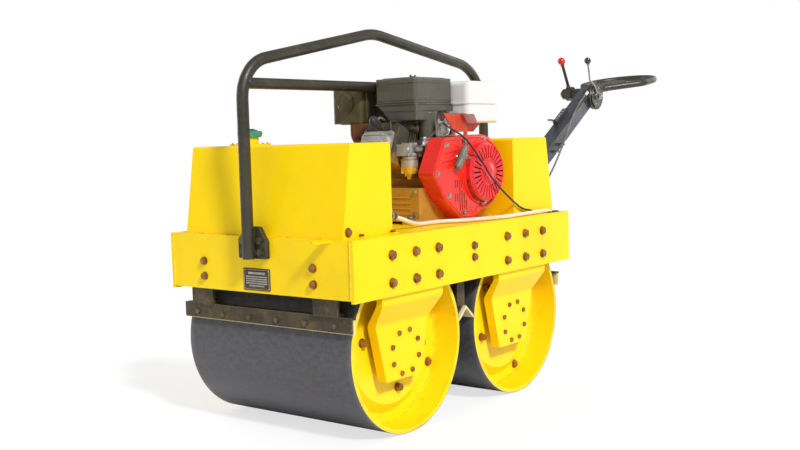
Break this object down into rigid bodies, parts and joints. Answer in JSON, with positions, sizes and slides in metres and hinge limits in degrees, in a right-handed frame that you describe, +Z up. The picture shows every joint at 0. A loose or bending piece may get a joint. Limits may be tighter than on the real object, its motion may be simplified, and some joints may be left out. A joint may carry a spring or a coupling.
{
  "type": "walk behind vibratory roller",
  "caption": "Walk-behind vibratory roller: twin steel drums on S-bent arms under a flat deck with water tank, petrol engine, lift bar, and a folding tiller with hand ring.",
  "frame": {"origin": "on the ground, below the centre of the overall box", "axes": "+X forward, away from the tiller; +Y to the operator's left; +Z up"},
  "size_m": [2.3444, 0.7, 1.1214],
  "materials": {
    "yellow_paint": "gloss",
    "drum_steel": "satin",
    "black_paint": "satin",
    "zinc": "satin",
    "bare_steel": "satin",
    "motor_iron": "satin",
    "cast_aluminium": "satin",
    "cream_polymer": "matt",
    "green_plastic": "gloss",
    "red_paint": "gloss",
    "black_plastic": "matt",
    "rusty_steel": "matt",
    "brass_bowl": "satin",
    "white_paint": "gloss",
    "lead_rubber": "matt",
    "black_rubber": "matt",
    "white_rubber": "satin",
    "grey_rubber": "matt",
    "red_plastic": "gloss"
  },
  "bodies": {
    "chassis": {"frame": "yellow_paint", "front_tank": "yellow_paint", "rear_hood": "yellow_paint", "lift_bar": "black_paint", "lift_bar_bolts": "zinc", "front_arm_left": "yellow_paint", "front_arm_right": "yellow_paint", "rear_arm_left": "yellow_paint", "rear_arm_right": "yellow_paint", "chassis_bolts_left": "zinc", "chassis_bolts_right": "zinc", "flange_bolts_left": "zinc", "flange_bolts_right": "zinc", "front_hub_left": "yellow_paint", "rear_hub_left": "yellow_paint", "front_hub_right": "motor_iron", "rear_hub_right": "motor_iron", "scraper_beams": "black_paint", "scraper_blades": "cream_polymer", "scraper_bolts": "zinc", "sprinkler_pipes": "black_paint", "engine_block": "motor_iron", "head_cover": "cast_aluminium", "fan_shroud": "red_paint", "recoil_cover": "red_paint", "muffler": "black_paint", "exhaust_pipe": "rusty_steel", "air_box": "black_plastic", "carburettor": "cast_aluminium", "float_bowl": "brass_bowl", "fuel_tank": "white_paint", "tank_stays": "red_paint", "governor_plate": "bare_steel", "spark_lead": "lead_rubber", "pump": "motor_iron", "drive_belt": "black_rubber", "white_hose": "white_rubber", "engine_cable": "black_rubber", "throttle_cable": "grey_rubber", "handle_bracket": "black_paint", "handle_pin": "zinc"},
    "front_drum": {"front_drum": "drum_steel", "front_dish_bolts": "zinc"},
    "rear_drum": {"rear_drum": "drum_steel", "rear_dish_bolts": "zinc"},
    "front_exciter": {"front_exciter": "bare_steel"},
    "rear_exciter": {"rear_exciter": "bare_steel"},
    "crankshaft": {"flywheel": "bare_steel"},
    "pump_pulley": {"pump_pulley": "bare_steel"},
    "starter_grip": {"starter_grip": "black_plastic"},
    "tank_cap": {"tank_cap": "green_plastic"},
    "fuel_cap": {"fuel_cap": "black_plastic"},
    "air_lid": {"air_lid": "black_plastic"},
    "handle": {"handle_arm": "black_paint", "hand_ring": "black_paint", "control_head": "black_paint"},
    "travel_lever": {"travel_lever": "black_paint", "travel_knob": "red_plastic"},
    "throttle_lever": {"throttle_lever": "bare_steel", "throttle_knob": "black_plastic"}
  },
  "joints": [
    {"name": "front_drum_roll", "type": "hinge", "parent": "chassis", "child": "front_drum", "pos_m": [0.85629, 0, 0.24], "axis": [0, 1, 0], "continuous": true},
    {"name": "rear_drum_roll", "type": "hinge", "parent": "chassis", "child": "rear_drum", "pos_m": [0.30429, 0, 0.24], "axis": [0, 1, 0], "continuous": true},
    {"name": "front_exciter_spin", "type": "hinge", "parent": "chassis", "child": "front_exciter", "pos_m": [0.85629, 0, 0.24], "axis": [0, 1, 0], "continuous": true},
    {"name": "rear_exciter_spin", "type": "hinge", "parent": "chassis", "child": "rear_exciter", "pos_m": [0.30429, 0, 0.24], "axis": [0, 1, 0], "continuous": true},
    {"name": "crankshaft_spin", "type": "hinge", "parent": "chassis", "child": "crankshaft", "pos_m": [0.42229, 0, 0.688], "axis": [0, 1, 0], "continuous": true},
    {"name": "pump_spin", "type": "hinge", "parent": "chassis", "child": "pump_pulley", "pos_m": [0.72029, 0, 0.62], "axis": [0, 1, 0], "continuous": true},
    {"name": "starter_pull", "type": "slide", "parent": "chassis", "child": "starter_grip", "axis": [0, 1, 0], "range_m": [0, 0.04], "stiffness_N_per_m": 60},
    {"name": "tank_cap_lift", "type": "slide", "parent": "chassis", "child": "tank_cap", "axis": [0, 0, 1], "range_m": [0, 0.06]},
    {"name": "fuel_cap_lift", "type": "slide", "parent": "chassis", "child": "fuel_cap", "axis": [0, 0, 1], "range_m": [0, 0.05]},
    {"name": "air_lid_lift", "type": "slide", "parent": "chassis", "child": "air_lid", "axis": [0, 0, 1], "range_m": [0, 0.12]},
    {"name": "handle_tilt", "type": "hinge", "parent": "chassis", "child": "handle", "pos_m": [-0.01971, 0, 0.487], "axis": [0, 1, 0], "range_deg": [-4, 34], "deforming": ["throttle_cable"]},
    {"name": "travel_lever_swing", "type": "hinge", "parent": "handle", "child": "travel_lever", "pos_m": [-0.75178, 0, 0.95338], "axis": [0, 1, 0], "range_deg": [-20, 20]},
    {"name": "throttle_lever_swing", "type": "hinge", "parent": "handle", "child": "throttle_lever", "pos_m": [-0.72901, 0, 0.93887], "axis": [0, 1, 0], "range_deg": [-22, 22]}
  ],
  "couplings": [
    {"joint": "rear_drum_roll", "follows": "front_drum_roll", "ratio": 1},
    {"joint": "rear_exciter_spin", "follows": "front_exciter_spin", "ratio": 1},
    {"joint": "pump_spin", "follows": "crankshaft_spin", "ratio": 0.86364}
  ]
}
